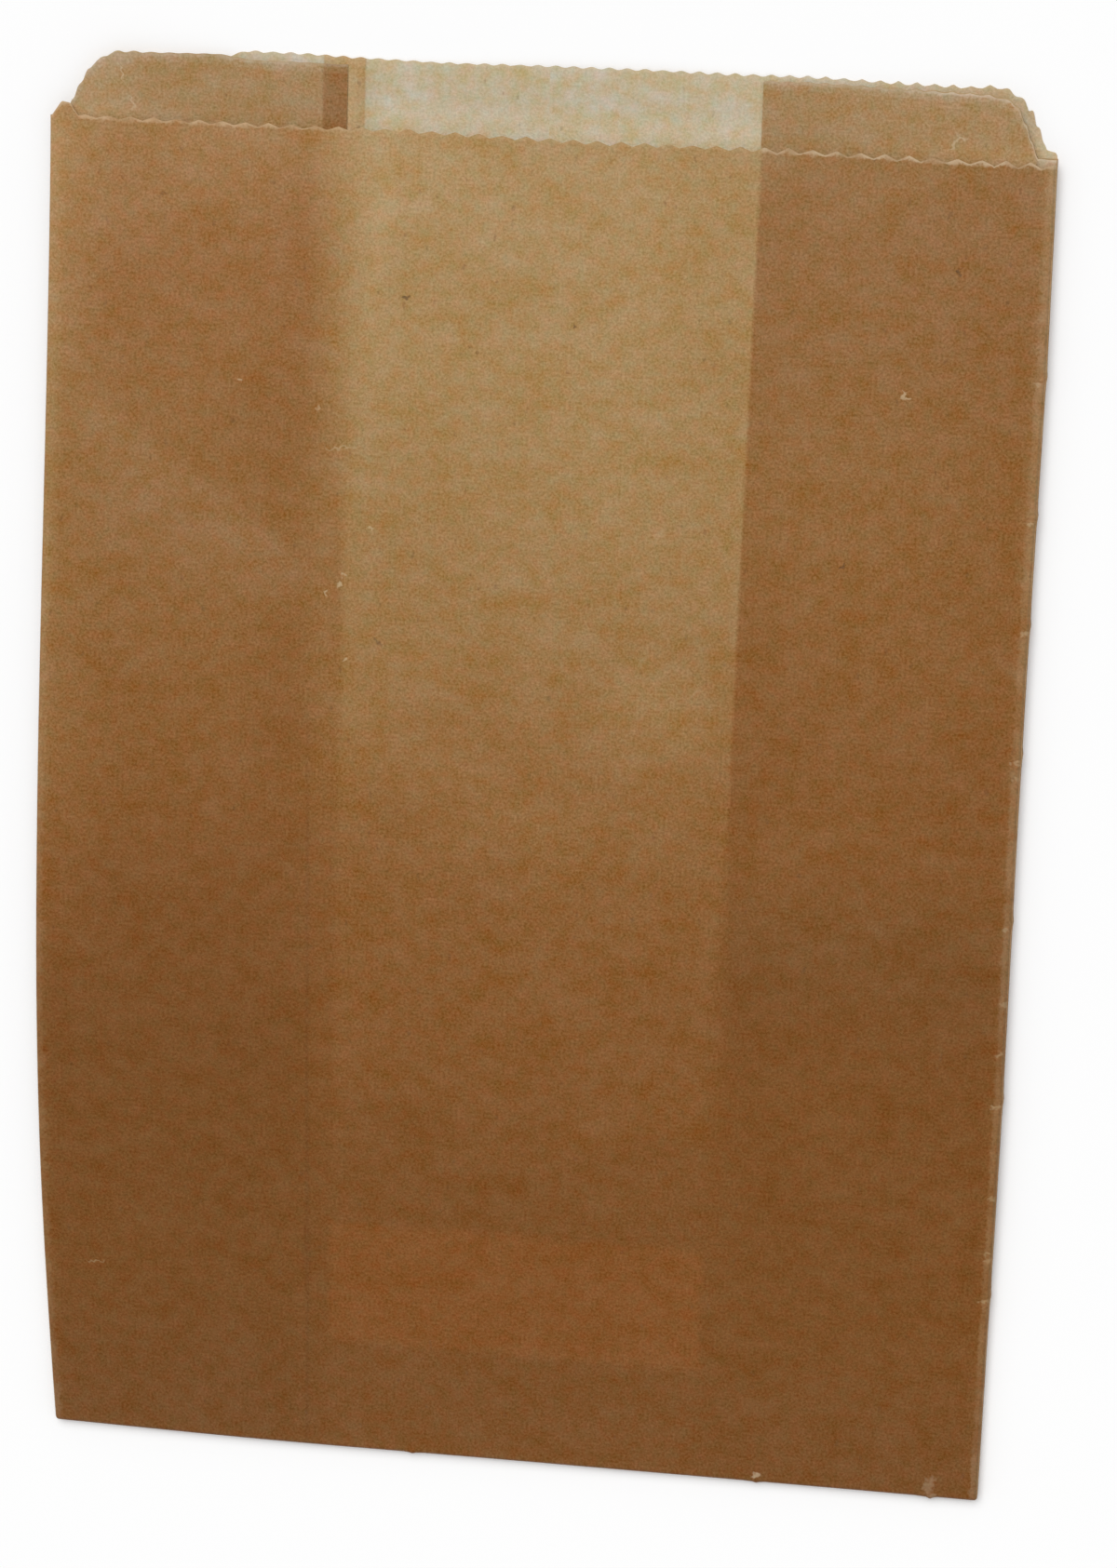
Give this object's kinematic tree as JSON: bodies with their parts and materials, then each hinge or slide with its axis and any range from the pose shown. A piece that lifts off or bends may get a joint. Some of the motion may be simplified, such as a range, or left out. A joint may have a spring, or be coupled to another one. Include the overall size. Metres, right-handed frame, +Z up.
{
  "type": "sanitary disposal bag",
  "caption": "Flat waxed kraft paper bag with pleated sides, a pinked mouth with a taller back lip, a lapped back seam and a folded, pasted bottom, for wrapping up small waste.",
  "frame": {"origin": "middle of the bag's outline on the surface it lies on", "axes": "+X across the front, +Y from the bottom fold to the mouth, +Z up out of the front panel"},
  "size_m": [0.1906, 0.28, 0.0051],
  "materials": {
    "waxed_kraft": "brown kraft paper, lightly waxed, dull sheen"
  },
  "bodies": {
    "root": {"bag": "waxed_kraft"}
  },
  "joints": []
}
